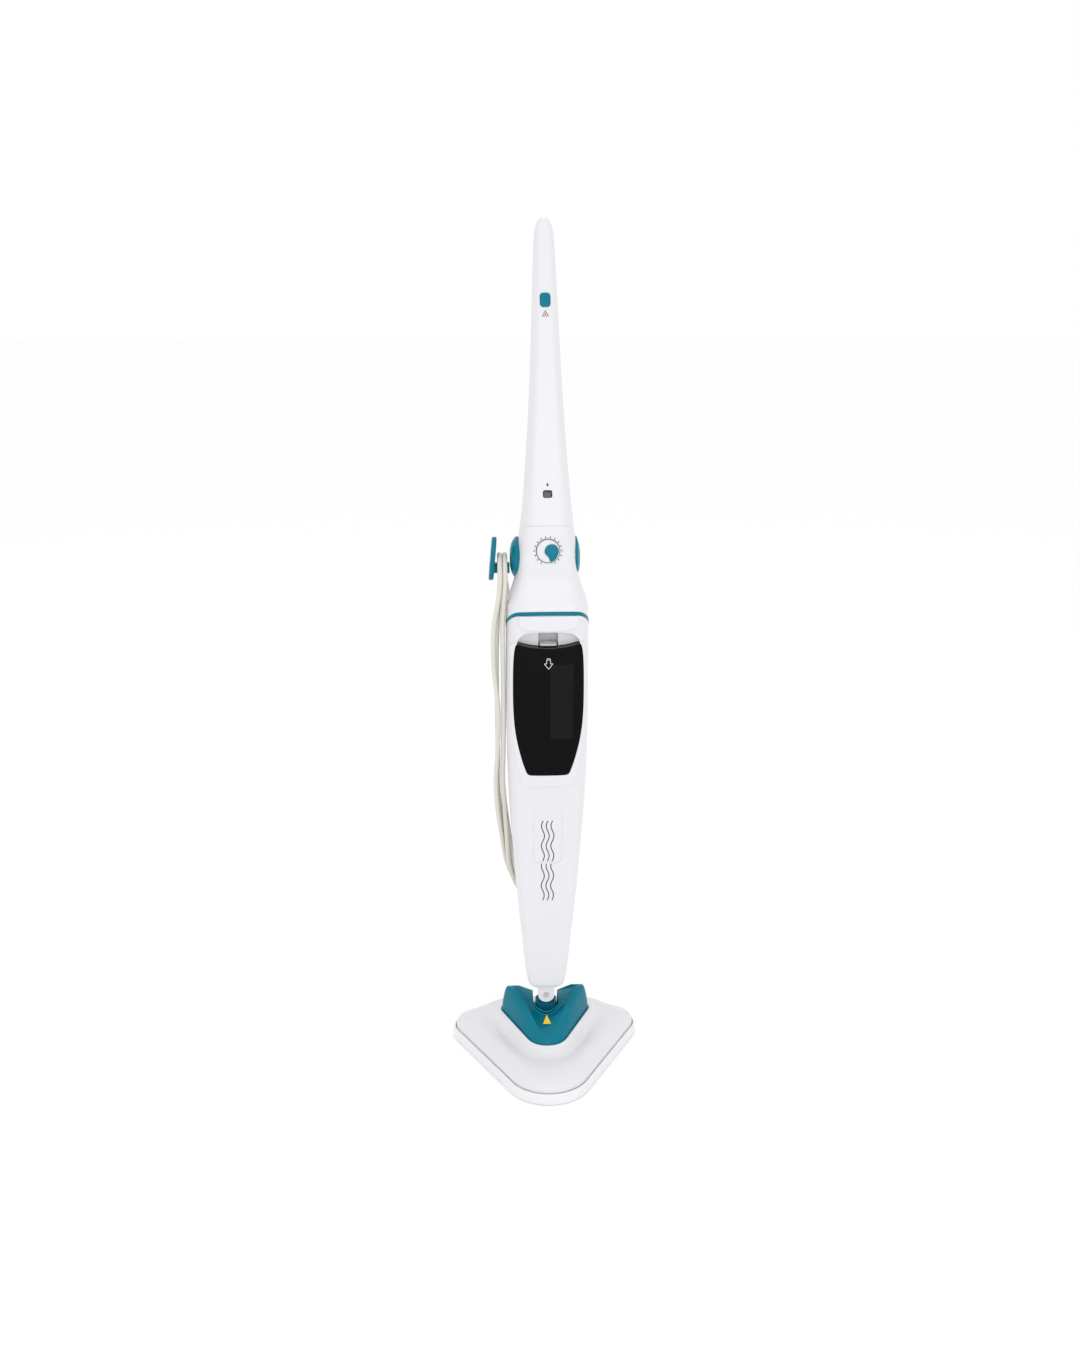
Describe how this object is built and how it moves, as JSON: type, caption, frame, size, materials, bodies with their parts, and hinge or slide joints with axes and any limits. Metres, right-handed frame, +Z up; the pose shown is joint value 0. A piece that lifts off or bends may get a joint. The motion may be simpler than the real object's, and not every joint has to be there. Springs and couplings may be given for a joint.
{
  "type": "steam mop",
  "caption": "Upright steam mop: triangular floor head on a clip-on glider, swivel neck, removable front water tank, steam knob, stick handle and a cord wound on side and rear hooks.",
  "frame": {"origin": "centre of the bounding box without the cord, at floor level", "axes": "+Z up along the body, front of the mop faces -Y, cord hook on the -X side"},
  "size_m": [0.283, 0.259, 1.22],
  "materials": {
    "accent_band": "polished teal moulding",
    "body_screw_1": "plain steel",
    "body_screw_2": "plain steel",
    "body_screw_3": "plain steel",
    "body_screw_4": "plain steel",
    "boiler": "cast or drawn aluminium",
    "button_spring": "plain steel",
    "carpet_glider": "translucent pale moulding",
    "circuit_board": "green board",
    "cord_gland": "black moulding",
    "cord_hank": "warm white cord sheath",
    "cord_lead": "warm white cord sheath",
    "front_housing": "polished white moulding",
    "grip_strip_front": "black moulding",
    "grip_strip_left": "black moulding",
    "grip_strip_right": "black moulding",
    "handle_front": "polished white moulding",
    "handle_rear": "polished white moulding",
    "handle_tube": "cast or drawn aluminium",
    "head_base_plate": "polished white moulding",
    "head_screw_1": "plain steel",
    "head_screw_2": "plain steel",
    "head_screw_3": "plain steel",
    "head_top_cover": "polished white moulding",
    "indicator_led": "grey moulding",
    "indicator_lens": "black glossy lens",
    "knob_pointer": "polished teal moulding",
    "lower_cord_hook": "polished white moulding",
    "mains_plug": "warm white cord sheath",
    "micro_switch": "black moulding",
    "mop_pad": "looped microfibre",
    "neck_collar": "polished white moulding",
    "neck_knuckle": "polished teal moulding",
    "pitch_pin": "plain steel",
    "pump": "black moulding",
    "pump_tube": "pale silicone",
    "rear_housing": "polished white moulding",
    "roll_pin": "plain steel",
    "side_cap_left": "polished teal moulding",
    "side_cap_right": "polished teal moulding",
    "steam_button": "polished teal moulding",
    "steam_knob": "polished white moulding",
    "steam_nozzle": "black moulding",
    "steam_regulator": "grey moulding",
    "steam_tube": "pale silicone",
    "tank_cap": "black moulding",
    "tank_valve": "pale silicone",
    "thermal_fuse": "grey moulding",
    "thermostat": "black moulding",
    "upper_cord_hook": "polished teal moulding",
    "water_tank": "smoked near-black transparent moulding",
    "water_tube": "pale silicone",
    "yoke_cover": "polished teal moulding"
  },
  "bodies": {
    "glider": {"carpet_glider": "carpet_glider"},
    "head": {"mop_pad": "mop_pad", "head_base_plate": "head_base_plate", "head_top_cover": "head_top_cover", "yoke_cover": "yoke_cover", "grip_strip_left": "grip_strip_left", "grip_strip_right": "grip_strip_right", "grip_strip_front": "grip_strip_front", "steam_nozzle": "steam_nozzle", "head_screw_1": "head_screw_1", "head_screw_2": "head_screw_2", "head_screw_3": "head_screw_3", "pitch_pin": "pitch_pin"},
    "knuckle": {"neck_knuckle": "neck_knuckle"},
    "regulator_knob": {"steam_knob": "steam_knob", "knob_pointer": "knob_pointer"},
    "trigger_button": {"steam_button": "steam_button"},
    "tank": {"water_tank": "water_tank", "tank_valve": "tank_valve"},
    "filler_cap": {"tank_cap": "tank_cap"},
    "main_body": {"accent_band": "accent_band", "body_screw_1": "body_screw_1", "body_screw_2": "body_screw_2", "body_screw_3": "body_screw_3", "body_screw_4": "body_screw_4", "boiler": "boiler", "button_spring": "button_spring", "circuit_board": "circuit_board", "cord_gland": "cord_gland", "cord_hank": "cord_hank", "cord_lead": "cord_lead", "front_housing": "front_housing", "handle_front": "handle_front", "handle_rear": "handle_rear", "handle_tube": "handle_tube", "indicator_led": "indicator_led", "indicator_lens": "indicator_lens", "lower_cord_hook": "lower_cord_hook", "mains_plug": "mains_plug", "micro_switch": "micro_switch", "neck_collar": "neck_collar", "pump": "pump", "pump_tube": "pump_tube", "rear_housing": "rear_housing", "roll_pin": "roll_pin", "side_cap_left": "side_cap_left", "side_cap_right": "side_cap_right", "steam_regulator": "steam_regulator", "steam_tube": "steam_tube", "thermal_fuse": "thermal_fuse", "thermostat": "thermostat", "upper_cord_hook": "upper_cord_hook", "water_tube": "water_tube"}
  },
  "joints": [
    {"name": "glider_unclip", "type": "slide", "parent": "glider", "child": "head", "axis": [0, 0, 1], "range_m": [0, 0.06]},
    {"name": "neck_recline", "type": "hinge", "parent": "head", "child": "knuckle", "pos_m": [0, 0.0205, 0.05], "axis": [-1, 0, 0], "range_deg": [0, 60]},
    {"name": "neck_side_swing", "type": "hinge", "parent": "knuckle", "child": "main_body", "pos_m": [0, 0.0205, 0.101], "axis": [0, 1, 0], "range_deg": [-35, 35]},
    {"name": "steam_regulator_turn", "type": "hinge", "parent": "main_body", "child": "regulator_knob", "pos_m": [0, -0.02209, 0.794], "axis": [0, 0.9952, -0.0976], "range_deg": [0, 300]},
    {"name": "steam_button_press", "type": "slide", "parent": "main_body", "child": "trigger_button", "axis": [0, 0.9483, -0.3174], "range_m": [0, 0.0025], "stiffness_N_per_m": 600, "springref_m": -0.0015, "deforming": ["button_spring"]},
    {"name": "tank_release", "type": "slide", "parent": "main_body", "child": "tank", "axis": [0, -1, 0], "range_m": [0, 0.1]},
    {"name": "filler_cap_lift", "type": "hinge", "parent": "tank", "child": "filler_cap", "pos_m": [0, -0.014, 0.6647], "axis": [-1, 0, 0], "range_deg": [0, 80]}
  ]
}
